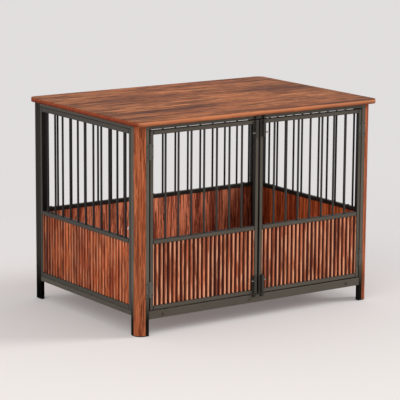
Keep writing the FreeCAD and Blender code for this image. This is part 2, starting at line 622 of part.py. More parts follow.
BACK_BOARD_FACE = f"({BACK} - dims.board_recess)"
back_board = block("back_board_slab", (minus(BACK_STILE), BACK_STILE),
                   (f"{BACK_BOARD_FACE} - dims.board_thickness", BACK_BOARD_FACE),
                   (SIDE_BOARD_LOW, MIDDLE_LOW))
back_board_holes = [hole(f"back_board_hole_{number}", "z", RAIL_GRIP, (x, BACK_PANEL_MIDDLE),
                         "dims.frame_screw") for number, x in enumerate(BACK_SCREW_X)]
node(cut("back_board", back_board, back_board_holes), "back_board")

# Screws on top of the middle rails.
rail_screw_places = [(x, BACK_PANEL_MIDDLE, MIDDLE_TOP) for x in BACK_SCREW_X]
rail_screw_places += [(f"{side} * {SIDE_MIDDLE_X}", y, MIDDLE_TOP) for side in (-1, 1) for y in SIDE_SCREW_Y]
node(group("middle_rail_screws", copies("middle_rail_screw", rail_screw, rail_screw_places, BACKWARD["z"])),
     "middle_rail_screws")

# Bolts that join the side panels to the corner posts ----------------------------------------------

WASHER_Y = (SIDE_STILE, f"{SIDE_STILE} + dims.washer_thickness")
left_panel_bolt = group("left_panel_bolt", copies(
    "panel_bolt", panel_bolt, [(PANEL_BOLT_SPOT[0], WASHER_Y[1], PANEL_BOLT_SPOT[1])], BACKWARD["y"]))
node(group("panel_bolts", [left_panel_bolt, mirrored("right_panel_bolt", left_panel_bolt)]), "panel_bolts")
washer_disc = rod("washer_disc", "y", WASHER_Y, PANEL_BOLT_SPOT, "dims.washer_radius")
left_washer = cut("left_washer", washer_disc, [bolt_hole("washer_hole", WASHER_Y)])
node(group("panel_bolt_washers", [left_washer, mirrored("right_washer", left_washer)]), "panel_bolt_washers")

# Floor --------------------------------------------------------------------------------------------

PLAY = "dims.floor_clearance"
floor_slab = block("floor_slab", (f"-{SIDE_INNER} + {PLAY}", f"{SIDE_INNER} - {PLAY}"),
                   (f"{FRONT_INNER} + {PLAY}", f"{BACK_INNER} - {PLAY}"), (FLOOR_LOW, BASE_TOP))
left_notch = block("left_floor_notch", (minus(SIDE), f"-{POST_OUT} + {PLAY}"),
                   (FRONT, f"{POST_BACK} + {PLAY}"), (FLOOR_LOW, BASE_TOP))
node(cut("floor_board", floor_slab, [left_notch, mirrored("right_floor_notch", left_notch)]), "floor_board")
SUPPORT_GRIPS = {"front": (FRONT_INNER, f"{FRONT_INNER} + dims.support_grip"),
                 "back": (f"{BACK_INNER} - dims.support_grip", BACK_INNER)}
supports = []
for number, x in enumerate(SUPPORT_X):
    bar_x = (f"{x} - dims.support_width / 2", f"{x} + dims.support_width / 2")
    bar = rounded_block(f"support_bar_{number}", bar_x, (FRONT_INNER, BACK_INNER), (SUPPORT_LOW, FLOOR_LOW),
                        "y", "dims.tube_round")
    void = block(f"support_void_{number}",
                 (f"{bar_x[0]} + {WALL}", f"{bar_x[1]} - {WALL}"),
                 (f"{FRONT_INNER} + dims.support_solid", f"{BACK_INNER} - dims.support_solid"),
                 (f"{SUPPORT_LOW} + {WALL}", f"{FLOOR_LOW} - {WALL}"))
    drills = [hole(f"support_{end}_hole_{number}", "y", span, (x, SUPPORT_MIDDLE_Z), "dims.frame_screw")
              for end, span in SUPPORT_GRIPS.items()]
    supports.append(cut(f"support_{number}", bar, [void, *drills]))
node(group("floor_supports", supports), "floor_supports")
support_screws = copies("front_support_screw", support_screw,
                        [(x, FRONT, SUPPORT_MIDDLE_Z) for x in SUPPORT_X], ALONG["y"])
support_screws += copies("back_support_screw", support_screw,
                         [(x, BACK, SUPPORT_MIDDLE_Z) for x in SUPPORT_X], BACKWARD["y"])
node(group("floor_support_screws", support_screws), "floor_support_screws")

# Feet ---------------------------------------------------------------------------------------------

FOOT = ("0", "dims.foot_height")
post_pad = quarter_round("post_pad", FOOT)
pads = [post_pad, mirrored("right_post_pad", post_pad)]
for number, (x, y) in enumerate((((minus(POST_OUT), minus(POST_IN)), (FRONT, FRONT_INNER)),
                                 (SIDE_X, (POST_BACK, LEG_BACK)),
                                 (SIDE_X, (REAR_LEG, BACK_INNER)),
                                 (SIDE_X, (BACK_INNER, BACK)))):
    pad = rounded_block(f"leg_pad_{number}", x, y, FOOT, "z", "dims.tube_round")
    edge = pad.Group[-1]
    edge.recompute()
    rounded(pad, edge, edges_at(edge.Shape, 0), "dims.foot_edge")
    pads += [pad, mirrored(f"right_leg_pad_{number}", pad)]
node(group("feet", pads), "feet")

# Doors --------------------------------------------------------------------------------------------

DOOR_Y = (FRONT, DOOR_BACK)
leaf_holes = [hole(f"door_leaf_hole_{number}", "y", (FRONT, f"{FRONT} + 2 * {WALL}"),
                   (f"-{HINGE_AXIS_X} + {LEAF_SCREW}", height), "dims.small_screw")
              for number, height in enumerate(HINGE_SCREW_HEIGHTS)]
guide_holes = [hole(f"door_guide_hole_{level}_{number}", "y", (FRONT, f"{FRONT} + 2 * {WALL}"),
                    (GUIDE_SCREW_X, height), "dims.small_screw")
               for level, heights in GUIDE_SCREW_HEIGHTS.items() for number, height in enumerate(heights)]
DOOR_GRIP = (DOOR_LOW, f"{DOOR_BOARD_LOW} + dims.wood_grip")
door_screw_holes = [hole(f"door_rail_hole_{number}", "z", DOOR_GRIP, (x, DOOR_MIDDLE_Y), "dims.frame_screw")
                    for number, x in enumerate(DOOR_SCREW_X)]
door_frame = [
    tube("hinge_stile", (minus(DOOR_HINGE_EDGE), minus(DOOR_STILE_HINGE)), DOOR_Y, (DOOR_LOW, DOOR_TOP), "z",
         leaf_holes),
    tube("bolt_stile", (minus(DOOR_STILE_FREE), minus(DOOR_FREE_EDGE)), DOOR_Y, (DOOR_LOW, DOOR_TOP), "z",
         guide_holes),
]
DOOR_INNER_X = (minus(DOOR_STILE_HINGE), minus(DOOR_STILE_FREE))
for level, span, drilled in (("low", (DOOR_LOW, DOOR_BOARD_LOW), door_screw_holes),
                             ("middle", (MIDDLE_LOW, MIDDLE_TOP), []),
                             ("high", (DOOR_RAIL_LOW, DOOR_TOP), [])):
    door_frame.append(tube(f"door_{level}_rail", DOOR_INNER_X, DOOR_Y, span, "x", drilled))
pair("door_frame", group("left_door_frame", door_frame))

door_board = fluted_board("door_board_body", f"{DOOR_STILE_HINGE} - {DOOR_STILE_FREE}",
                          f"{MIDDLE_LOW} - {DOOR_BOARD_LOW}", "dims.door_flute_count",
                          (minus(DOOR_STILE_HINGE), f"{FRONT} + dims.board_recess", DOOR_BOARD_LOW),
                          Rotation())
door_board_holes = [hole(f"door_board_hole_{number}", "z", DOOR_GRIP, (x, DOOR_MIDDLE_Y), "dims.frame_screw")
                    for number, x in enumerate(DOOR_SCREW_X)]
pair("door_board", cut("left_door_board", door_board, door_board_holes))
pair("door_board_screws", group("left_door_board_screws", copies(
    "door_board_screw", door_screw, [(x, DOOR_MIDDLE_Y, DOOR_LOW) for x in DOOR_SCREW_X])))

# Hinges -------------------------------------------------------------------------------------------

AXIS = (minus(HINGE_AXIS_X), HINGE_AXIS_Y)
NOTCH = "(dims.knuckle_radius + dims.knuckle_gap)"


def leaf(name, centre, side, segments):
    """A hinge leaf reaching to one side of the axis, with its share of the barrel."""
    reach = (f"{AXIS[0]} - dims.leaf_width", f"{AXIS[0]} - {NOTCH}")
    arm = (f"{AXIS[0]} - {NOTCH}", AXIS[0])
    if side == "door":
        reach = (f"{AXIS[0]} + {NOTCH}", f"{AXIS[0]} + dims.leaf_width")
        arm = (AXIS[0], f"{AXIS[0]} + {NOTCH}")
    screw_x = f"{AXIS[0]} {'+' if side == 'door' else '-'} {LEAF_SCREW}"
    whole = (f"{centre} - dims.hinge_height / 2", f"{centre} + dims.hinge_height / 2")
    pieces = [block(name + "_plate", reach, (LEAF_FACE, FRONT), whole)]
    for number, span in enumerate(segments):
        pieces.append(block(f"{name}_arm_{number}", arm, (LEAF_FACE, FRONT), span))
        pieces.append(rod(f"{name}_knuckle_{number}", "z", span, AXIS, "dims.knuckle_radius"))
    holes = [rod(f"{name}_bore", "z", whole, AXIS, "dims.pin_radius + dims.pin_clearance")]
    holes += [hole(f"{name}_screw_hole_{number}", "y", (LEAF_FACE, FRONT), (screw_x, f"{centre} + {rise}"),
                   "dims.small_screw") for number, rise in enumerate(HINGE_SCREW_RISES)]
    return cut(name, joined(name + "_solid", pieces), holes)


frame_leaves = []
door_leaves = []
pins = []
for level, centre in (("lower", "dims.hinge_low"), ("upper", "dims.hinge_high")):
    low = f"{centre} - dims.hinge_height / 2"
    high = f"{centre} + dims.hinge_height / 2"
    inner_low = f"{low} + dims.knuckle_height"
    inner_high = f"{high} - dims.knuckle_height"
    door_knuckle = (f"{inner_low} + dims.knuckle_gap", f"{inner_high} - dims.knuckle_gap")
    frame_leaves.append(leaf(f"{level}_frame_leaf", centre, "frame", [(low, inner_low), (inner_high, high)]))
    door_leaves.append(leaf(f"{level}_door_leaf", centre, "door", [door_knuckle]))
    pins.append(joined(f"{level}_pin", [
        rod(f"{level}_pin_shank", "z", (low, high), AXIS, "dims.pin_radius"),
        rod(f"{level}_pin_foot", "z", (f"{low} - dims.pin_head_height", low), AXIS, "dims.pin_head_radius"),
        rod(f"{level}_pin_head", "z", (high, f"{high} + dims.pin_head_height"), AXIS, "dims.pin_head_radius"),
    ]))
left_frame_leaves = group("left_frame_leaves", frame_leaves)
node(group("hinge_frame_leaves", [left_frame_leaves, mirrored("right_frame_leaves", left_frame_leaves)]),
     "hinge_frame_leaves")
left_pins = group("left_hinge_pins", pins)
node(group("hinge_pins", [left_pins, mirrored("right_hinge_pins", left_pins)]), "hinge_pins")
pair("door_hinge_leaves", group("left_door_hinge_leaves", door_leaves))


def face_screws(name, spots):
    """Small screws driven backward into a front face, through a plate that lies on it."""
    places = [(x, LEAF_FACE, z) for x, z in spots]
    return group(name, copies(name + "_screw", small_screw, places, ALONG["y"]))


left_hinge_screws = face_screws("left_frame_hinge",
                                [(f"{AXIS[0]} - {LEAF_SCREW}", z) for z in HINGE_SCREW_HEIGHTS])
node(group("hinge_frame_screws", [left_hinge_screws, mirrored("right_frame_hinge", left_hinge_screws)]),
     "hinge_frame_screws")
pair("door_hinge_screws", face_screws("left_door_hinge",
                                      [(f"{AXIS[0]} + {LEAF_SCREW}", z) for z in HINGE_SCREW_HEIGHTS]))

# Slide bolts --------------------------------------------------------------------------------------

BOLT_X = "-dims.bolt_offset"
BOLT_SPOT = (BOLT_X, BOLT_AXIS_Y)
GUIDE_X = (f"{BOLT_X} - dims.guide_width / 2", f"{BOLT_X} + dims.guide_width / 2")
BARREL_X = (f"{BOLT_X} - dims.barrel_width / 2", f"{BOLT_X} + dims.barrel_width / 2")
BARREL_Y = (f"{FRONT} - dims.barrel_reach", FRONT)
SLOT_Y = (f"{BOLT_AXIS_Y} - dims.knob_radius - dims.knob_clearance",
          f"{BOLT_AXIS_Y} + dims.knob_radius + dims.knob_clearance")


def barrel_solid(name, span, corner):
    """The raised middle of a guide or keeper on its plate, which has rounded corners."""
    plate = rounded_block(name + "_plate", GUIDE_X, (LEAF_FACE, FRONT), span, "y", corner)
    body = doc.addObject("PartDesign::Body", name + "_barrel")
    raised = body.newObject("PartDesign::AdditiveBox", name + "_raised")
    between(raised, BARREL_X, BARREL_Y, span)
    raised.recompute()
    front_edges = [edge for edge in edges_along(raised.Shape, "z")
                   if raised.Shape.getElement(edge).BoundBox.YMax < 0.01]
    rounded(body, raised, front_edges, "dims.barrel_round")
    place(body, (BARREL_X[0], BARREL_Y[0], span[0]))
    return joined(name + "_solid", [plate, body])


def between_heights(edge, direction, near, far):
    """Two heights at two distances from a door's edge, the lower one first."""
    if direction > 0:
        return (f"{edge} + ({near})", f"{edge} + ({far})")
    return (f"{edge} - ({far})", f"{edge} - ({near})")


def slide_bolt(level, edge, direction, length, knob):
    """A left door's slide bolt: its guide and, withdrawn, its rod with a knob to the left."""
    guide_span = between_heights(edge, direction, "dims.guide_setback", f"dims.guide_setback + {length}")
    rod_span = between_heights(edge, direction, "dims.bolt_setback", f"{knob} + dims.bolt_tail")
    slot_span = between_heights(edge, direction,
                                f"{knob} - dims.bolt_travel - dims.knob_radius - dims.knob_play",
                                f"{knob} + dims.knob_radius + dims.knob_play")
    slot = block(f"{level}_slot", (BARREL_X[0], BOLT_X), SLOT_Y, slot_span)
    bore = rod(f"{level}_bore", "z", guide_span, BOLT_SPOT, "dims.bolt_radius + dims.bolt_clearance")
    screw_holes = [hole(f"{level}_guide_screw_hole_{number}", "y", (LEAF_FACE, FRONT),
                        (GUIDE_SCREW_X, height), "dims.small_screw")
                   for number, height in enumerate(GUIDE_SCREW_HEIGHTS[level])]
    guide = cut(f"{level}_guide", barrel_solid(f"{level}_guide_body", guide_span, "dims.guide_corner"),
                [bore, slot, *screw_holes])
    shaft = doc.addObject("PartDesign::Body", f"{level}_shaft")
    bar = shaft.newObject("PartDesign::AdditiveCylinder", f"{level}_shaft_bar")
    bar.setExpression("Radius", "dims.bolt_radius")
    bar.setExpression("Height", f"({rod_span[1]}) - ({rod_span[0]})")
    bar.recompute()
    tip_height = 0 if direction > 0 else bar.Shape.BoundBox.ZMax
    rounded(shaft, bar, edges_at(bar.Shape, tip_height), "dims.bolt_radius / 3")
    place(shaft, (*BOLT_SPOT, rod_span[0]))
    knob_height = between_heights(edge, direction, knob, knob)[0]
    handle = doc.addObject("PartDesign::Body", f"{level}_handle")
    grip = handle.newObject("PartDesign::AdditiveCylinder", f"{level}_handle_grip")
    grip.setExpression("Radius", "dims.knob_radius")
    grip.setExpression("Height", "dims.knob_reach")
    grip.recompute()
    knob_end = dims.evalExpression("dims.knob_reach")
    rounded(handle, grip, edges_at(grip.Shape, knob_end), "dims.knob_radius / 3")
    handle.Placement = Placement(Vector(), BACKWARD["x"])
    place(handle, (BOLT_X, BOLT_AXIS_Y, knob_height))
    return guide, joined(f"{level}_bolt", [shaft, handle])


for level, edge, direction in (("lower", DOOR_LOW, 1), ("upper", DOOR_TOP, -1)):
    guide, bolt = slide_bolt(level, edge, direction, f"dims.{level}_guide_length", f"dims.{level}_knob")
    node(guide, f"{level}_left_bolt_guide")
    node(mirrored(f"{level}_right_guide", guide), f"{level}_right_bolt_guide")
    node(bolt, f"{level}_left_bolt")
    node(mirrored(f"{level}_right_bolt", bolt), f"{level}_right_bolt")
pair("bolt_guide_screws", face_screws("left_guide", [(GUIDE_SCREW_X, height)
                                                     for heights in GUIDE_SCREW_HEIGHTS.values()
                                                     for height in heights]))

keepers = []
for level, span, middle in (("lower", LOWER_KEEPER, KEEPER_MIDDLES[0]),
                            ("upper", UPPER_KEEPER, KEEPER_MIDDLES[1])):
    bore = rod(f"{level}_keeper_bore", "z", span, BOLT_SPOT, "dims.keeper_bore")
    drills = [hole(f"{level}_keeper_screw_hole_{number}", "y", (LEAF_FACE, FRONT), (x, middle),
                   "dims.small_screw") for number, x in enumerate(KEEPER_SCREW_X)]
    keepers.append(cut(f"{level}_keeper", barrel_solid(f"{level}_keeper_body", span, "dims.keeper_corner"),
                       [bore, *drills]))
left_keepers = group("left_keepers", keepers)
node(group("bolt_keepers", [left_keepers, mirrored("right_keepers", left_keepers)]), "bolt_keepers")
left_keeper_screws = face_screws("left_keeper",
                                 [(x, middle) for middle in KEEPER_MIDDLES for x in KEEPER_SCREW_X])
node(group("keeper_screws", [left_keeper_screws, mirrored("right_keeper_screws", left_keeper_screws)]),
     "keeper_screws")

# Check and export ---------------------------------------------------------------------------------

doc.recompute()
for thing in doc.Objects:
    if "Invalid" in thing.State or "Error" in thing.State:
        raise RuntimeError(f"{thing.Name} failed: {thing.State}")
os.makedirs("parts", exist_ok=True)
for piece in nodes:
    if piece.Shape.isNull() or not piece.Shape.isValid():
        raise RuntimeError(f"{piece.Label} has no valid shape")
    piece.Shape.exportStep(f"parts/{piece.Label}.step")
    print(f"{piece.Label}: {len(piece.Shape.Solids)} solids, {piece.Shape.Volume / 1000:.1f} cm3")
print(len(nodes), "nodes")
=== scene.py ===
"""Looks of the dog crate end table: walnut top, posts and boards in a dark bronze steel frame."""
import json
import math

import bpy
from mathutils import Matrix, Vector

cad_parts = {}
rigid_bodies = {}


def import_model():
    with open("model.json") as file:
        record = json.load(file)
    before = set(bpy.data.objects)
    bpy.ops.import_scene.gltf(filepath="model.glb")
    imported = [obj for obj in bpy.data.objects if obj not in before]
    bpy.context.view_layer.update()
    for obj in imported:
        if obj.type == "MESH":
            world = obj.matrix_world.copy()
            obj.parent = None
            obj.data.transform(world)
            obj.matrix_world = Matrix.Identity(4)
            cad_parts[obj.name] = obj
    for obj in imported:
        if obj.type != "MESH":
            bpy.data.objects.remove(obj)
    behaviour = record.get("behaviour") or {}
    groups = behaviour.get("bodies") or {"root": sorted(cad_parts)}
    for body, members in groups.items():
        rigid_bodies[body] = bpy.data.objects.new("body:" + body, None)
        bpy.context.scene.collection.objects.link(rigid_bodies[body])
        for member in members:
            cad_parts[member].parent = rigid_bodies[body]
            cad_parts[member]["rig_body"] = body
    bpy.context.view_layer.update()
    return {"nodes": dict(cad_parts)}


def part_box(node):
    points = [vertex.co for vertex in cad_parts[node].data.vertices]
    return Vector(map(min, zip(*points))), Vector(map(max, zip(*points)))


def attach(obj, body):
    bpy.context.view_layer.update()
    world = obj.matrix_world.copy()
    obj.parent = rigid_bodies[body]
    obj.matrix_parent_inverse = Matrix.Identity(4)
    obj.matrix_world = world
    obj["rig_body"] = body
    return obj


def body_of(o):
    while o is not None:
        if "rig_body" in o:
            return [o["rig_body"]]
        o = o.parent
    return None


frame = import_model()
nodes = frame["nodes"]

# Materials ----------------------------------------------------------------------------------------

AXES = "XYZ"
# The colour sockets of a Mix node, which has others of the same names.
MIX_A, MIX_B, MIX_RESULT = 6, 7, 2


class Graph:
    """A short way to write a node material."""

    def __init__(self, name):
        self.material = bpy.data.materials.new(name)
        self.material.use_nodes = True
        self.tree = self.material.node_tree
        self.tree.nodes.clear()
        self.shader = self.add("ShaderNodeBsdfPrincipled")
        output = self.add("ShaderNodeOutputMaterial")
        self.link(self.shader.outputs["BSDF"], output.inputs["Surface"])
        coordinates = self.add("ShaderNodeTexCoord")
        self.position = coordinates.outputs["Object"]
        self.normal = coordinates.outputs["Normal"]

    def add(self, kind, **settings):
        """A new node of this kind, with these settings."""
        node = self.tree.nodes.new(kind)
        for key, value in settings.items():
            setattr(node, key, value)
        return node

    def link(self, source, target):
        self.tree.links.new(source, target)

    def fill(self, socket, value):
        """Give a socket a value, or link another socket to it."""
        if isinstance(value, bpy.types.NodeSocket):
            self.link(value, socket)
        else:
            socket.default_value = value

    def axes_of(self, vector):
        """The X, Y and Z of a vector."""
        split = self.add("ShaderNodeSeparateXYZ")
        self.link(vector, split.inputs[0])
        return split.outputs

    def stretched(self, scale, offset=(0, 0, 0)):
        """Object coordinates with a scale on each axis."""
        mapping = self.add("ShaderNodeMapping")
        self.link(self.position, mapping.inputs["Vector"])
        mapping.inputs["Scale"].default_value = scale
        mapping.inputs["Location"].default_value = offset
        return mapping.outputs["Vector"]

    def noise(self, vector, scale=1.0, detail=4.0, roughness=0.5, distortion=0.0):
        node = self.add("ShaderNodeTexNoise")
        self.link(vector, node.inputs["Vector"])
        node.inputs["Scale"].default_value = scale
        node.inputs["Detail"].default_value = detail
        node.inputs["Roughness"].default_value = roughness
        node.inputs["Distortion"].default_value = distortion
        return node.outputs["Fac"]

    def math(self, operation, a, b=0.0, clamp=False):
        node = self.add("ShaderNodeMath", operation=operation, use_clamp=clamp)
        self.fill(node.inputs[0], a)
        self.fill(node.inputs[1], b)
        return node.outputs[0]

    def ramp(self, fac, *stops):
        """A colour ramp; each stop is a place and a grey value or a colour."""
        node = self.add("ShaderNodeValToRGB")
        self.link(fac, node.inputs["Fac"])
        elements = node.color_ramp.elements
        while len(elements) < len(stops):
            elements.new(0.5)
        for element, (place, colour) in zip(elements, stops):
            element.position = place
            if isinstance(colour, (int, float)):
                colour = (colour, colour, colour)
            element.color = (*colour, 1)
        return node.outputs["Color"]

    def mix(self, fac, a, b, blend="MIX"):
        """Colour b over colour a, by a factor."""
        node = self.add("ShaderNodeMix", data_type="RGBA", blend_type=blend)
        self.fill(node.inputs["Factor"], fac)
        for index, value in ((MIX_A, a), (MIX_B, b)):
            if not isinstance(value, bpy.types.NodeSocket):
                value = (*value, 1)
            self.fill(node.inputs[index], value)
        return node.outputs[MIX_RESULT]

    def toned(self, colour, tone):
        """A colour multiplied by a tone."""
        return self.mix(1.0, colour, tone, "MULTIPLY")

    def bump(self, height, strength, distance):
        """Relief on the surface, by a height and the distance in metres that it stands for."""
        node = self.add("ShaderNodeBump")
        node.inputs["Strength"].default_value = strength
        node.inputs["Distance"].default_value = distance
        self.link(height, node.inputs["Height"])
        self.link(node.outputs["Normal"], self.shader.inputs["Normal"])


def srgb(*levels):
    """A display colour, its red, green and blue from 0 to 255, as a linear one."""
    def linear(v):
        return ((v / 255 + 0.055) / 1.055) ** 2.4 if v > 10 else v / 255 / 12.92
    return tuple(linear(level) for level in levels)


def scaled(colour, factor):
    """A colour made lighter or darker."""
    return tuple(v * factor for v in colour)


# Each layer of the walnut's grain: how often it changes per metre, along the grain and across it.
BANDS = (1.1, 12)
FIGURE = (3, 50)
VEINS = (4.5, 115)
DASHES = (12, 260)
PORES = (40, 900)


def wood(name, along, tones, pitch=1.0, lines=0.7, wander=1.0, gloss=0.12, offset=(0, 0, 0),
         face=None):
    """Walnut with its grain along one axis.

    The tones are light, middle and dark.  A higher pitch makes the grain finer, lines is how much
    its dark veins show, and wander is how crooked they run.  A face is a function that changes
    the colour last.
    """
    g = Graph(name)
    light, middle, dark = tones

    def grain(frequencies, detail, roughness, distortion=0.0):
        lengthwise, across = frequencies
        scale = [across * pitch] * 3
        scale[AXES.index(along)] = lengthwise
        return g.noise(g.stretched(scale, offset), detail=detail, roughness=roughness,
                       distortion=distortion * wander)

    bands = grain(BANDS, detail=3, roughness=0.55, distortion=0.6)
    figure = grain(FIGURE, detail=5, roughness=0.6, distortion=0.9)
    veins = grain(VEINS, detail=3, roughness=0.65, distortion=1.3)
    dashes = grain(DASHES, detail=3, roughness=0.6, distortion=0.6)
    pores = grain(PORES, detail=2, roughness=0.5)

    tone = g.math("ADD", g.math("MULTIPLY", bands, 0.45), g.math("MULTIPLY", figure, 0.55))
    colour = g.ramp(tone, (0.38, dark), (0.47, middle), (0.57, light), (0.68, scaled(light, 1.25)))
    vein = g.ramp(veins, (0.50, 0.0), (0.56, 1.0), (0.62, 1.0), (0.70, 0.4))
    colour = g.mix(g.math("MULTIPLY", vein, lines), colour, scaled(dark, 0.42))
    dash = g.ramp(dashes, (0.50, 0.0), (0.58, 1.0))
    colour = g.mix(g.math("MULTIPLY", dash, lines * 0.8), colour, scaled(dark, 0.5))
    colour = g.mix(0.6, colour, g.ramp(pores, (0.38, 1.25), (0.62, 0.6)), "MULTIPLY")
    if face:
        colour = face(g, colour)
    g.link(colour, g.shader.inputs["Base Color"])
    g.shader.inputs["Specular IOR Level"].default_value = gloss
    g.link(g.ramp(dashes, (0.3, 0.44), (0.7, 0.62)), g.shader.inputs["Roughness"])
    relief = g.math("ADD", g.math("MULTIPLY", dashes, -0.7), g.math("MULTIPLY", pores, -0.5))
    g.bump(relief, strength=0.35, distance=0.0004)
    return g.material


# A ramp begins at 0, and the crate lies on both sides of the origin, so its ramps begin here.
RAMP_START = -0.5


def painted_light_along(axis, *stops, face=None):
    """Painted light and shade that changes along an axis, laid over another face.

    Each stop is a distance from RAMP_START, in metres, and the tone there.
    """
    def tone(g, colour):
        if face:
            colour = face(g, colour)
        place = g.math("SUBTRACT", g.axes_of(g.position)[axis], RAMP_START)
        return g.toned(colour, g.ramp(place, *stops))
    return tone


def edge_band_and_painted_light(g, colour):
    """The tabletop has painted shade toward its ends, and redder edge banding with painted shade at
    its bottom, a painted highlight above and more painted shade at both ends.
    """
    normal = g.axes_of(g.normal)
    place = g.axes_of(g.position)
    sideways = g.math("MULTIPLY", g.math("ABSOLUTE", place["X"]), 2)
    # Painted shade toward the tabletop's ends.
    colour = g.toned(colour, g.ramp(sideways, (0.3, 1.0), (0.95, 0.76)))
    band = g.ramp(g.math("ABSOLUTE", normal["Z"]), (0.45, 1.0), (0.75, 0.0))
    low, high = top_box[0].z, top_box[1].z
    rise = g.math("DIVIDE", g.math("SUBTRACT", place["Z"], low), high - low, clamp=True)
    # Redder edge banding, with painted shade at its bottom and a painted highlight along its upper
    # part.
    tint = g.ramp(rise, (0.0, srgb(80, 42, 30)), (0.3, srgb(166, 98, 68)),
                  (0.75, srgb(222, 146, 104)), (1.0, srgb(204, 128, 88)))
    # Painted shade on the banding of the left and right ends.
    side = g.ramp(g.math("ABSOLUTE", normal["X"]), (0.5, 1.0), (0.8, (0.55, 0.29, 0.23)))
    return g.mix(band, colour, g.toned(g.mix(0.65, colour, tint), side))


FLUTE_DEPTH = 0.0047


def groove_shade_and_crest_highlight(axis, front, strength, rear_painted_light=1.0):
    """Painted shade in a fluted board's grooves, and painted highlights in patches on the crests
    between them.

    The front is the place of the board's face on the axis.  The rear tone is painted light on its
    plain back.
    """
    def groove_and_crest_light(g, colour):
        place = g.math("ABSOLUTE", g.axes_of(g.position)[axis])
        inward = g.math("DIVIDE", g.math("SUBTRACT", abs(front), place), FLUTE_DEPTH)
        # The level is 0 at the board's face, 0.5 at the bottom of a groove and higher behind it.
        level = g.math("MULTIPLY", inward, 0.5, clamp=True)
        groove = g.ramp(level, (0.0, 0.0), (0.2, 0.15), (0.4, 1.0), (0.52, 1.0), (0.6, 0.0))
        crest = g.ramp(level, (0.0, 1.0), (0.05, 0.75), (0.15, 0.0))
        patches = g.noise(g.stretched((70, 70, 9)), detail=2, distortion=0.8)
        patchy = g.math("MULTIPLY", crest, g.ramp(patches, (0.42, 0.1), (0.58, 1.0)))
        # Painted light on the board's plain back.
        rear = g.ramp(level, (0.6, 1.0), (0.7, rear_painted_light))
        # The grooves are darkened as painted shade and the crests lightened as painted highlights.
        colour = g.mix(g.math("MULTIPLY", groove, strength), colour, srgb(60, 20, 11))
        pale = g.mix(0.6, colour, srgb(255, 190, 150))
        colour = g.mix(g.math("MULTIPLY", patchy, strength), colour, pale)
        return g.toned(colour, rear)
    return groove_and_crest_light


COATING_GLOSS = 0.3


def steel(name, colour, roughness, metallic=0.0, grain=1400, strength=0.12, face=None):
    """Powder-coated or plated steel, slightly uneven; grain and strength set its orange peel."""
    g = Graph(name)
    mottle = g.noise(g.stretched((7, 7, 7)), detail=4)
    speckle = g.noise(g.stretched((grain, grain, grain)), detail=2)
    shade = g.ramp(mottle, (0.3, scaled(colour, 0.86)), (0.7, scaled(colour, 1.12)))
    shade = g.mix(0.35, shade, g.ramp(speckle, (0.35, 0.8), (0.65, 1.2)), "MULTIPLY")
    g.shader.inputs["Specular IOR Level"].default_value = COATING_GLOSS
    if face:
        shade = face(g, shade)
    g.link(shade, g.shader.inputs["Base Color"])
    uneven = g.ramp(mottle, (0.3, roughness - 0.06), (0.7, roughness + 0.06))
    g.link(uneven, g.shader.inputs["Roughness"])
    g.shader.inputs["Metallic"].default_value = metallic
    g.bump(speckle, strength, distance=0.0002)
    return g.material


SEAM_WIDTH = 0.0022


def painted_seam_shade(*segments):
    """Painted shade along joint lines, over painted shade on faces turned to the inside of the
    crate.

    Each segment is an axis, its low and high end, the other axis and the line's place on that one.
    Places on X are distances from the crate's middle, so that both doors have the same lines.
    """
    def draw(g, colour):
        x, y, z = g.axes_of(g.position)
        place = {"X": g.math("ABSOLUTE", x), "Y": y, "Z": z}
        nearest = None
        for along, low, high, across, spot in segments:
            distance = g.math("ABSOLUTE", g.math("SUBTRACT", place[across], spot))
            before = g.math("SUBTRACT", low, place[along])
            after = g.math("SUBTRACT", place[along], high)
            distance = g.math("MAXIMUM", distance, g.math("MAXIMUM", before, after))
            nearest = g.math("MINIMUM", nearest, distance) if nearest else distance
        # Painted shade along each joint line.
        near = g.math("MULTIPLY", nearest, 1 / SEAM_WIDTH, clamp=True)
        return painted_inner_shade(g, g.toned(colour, g.ramp(near, (0.5, 0.12), (1.0, 1.0))))
    return draw


def painted_inner_shade(g, colour):
    """Faces turned to the inside of the crate get painted shade."""
    flat = g.add("ShaderNodeVectorMath", operation="MULTIPLY")
    g.link(g.position, flat.inputs[0])
    flat.inputs[1].default_value = (1, 1, 0)
    outward = g.add("ShaderNodeVectorMath", operation="NORMALIZE")
    g.link(flat.outputs["Vector"], outward.inputs[0])
    facing = g.add("ShaderNodeVectorMath", operation="DOT_PRODUCT")
    g.link(g.normal, facing.inputs[0])
    g.link(outward.outputs["Vector"], facing.inputs[1])
    turned = g.math("ADD", facing.outputs["Value"], 0.5)
    return g.toned(colour, g.ramp(turned, (0.3, 0.3), (0.5, 1.0)))


def panel_seam_shade(frame_name, board_name, bars_name, along):
    """Painted shade along the joint lines round a panel's frame, its board and its barred opening.
    """
    outer, board, bars = (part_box(name) for name in (frame_name, board_name, bars_name))
    axis = AXES.index(along)

    def span(box):
        return sorted(abs(corner[axis]) if along == "X" else corner[axis] for corner in box)

    low, high = span(outer)
    inner_low, inner_high = span(board)
    bottom, top = outer[0].z, outer[1].z
    lines = [(along, low, high, "Z", spot) for spot in (bottom, top)]
    lines += [("Z", bottom, top, along, spot) for spot in (low, high, inner_low, inner_high)]
    lines += [(along, inner_low, inner_high, "Z", spot)
              for spot in (board[0].z, board[1].z, bars[0].z, bars[1].z)]
    return painted_seam_shade(*lines)


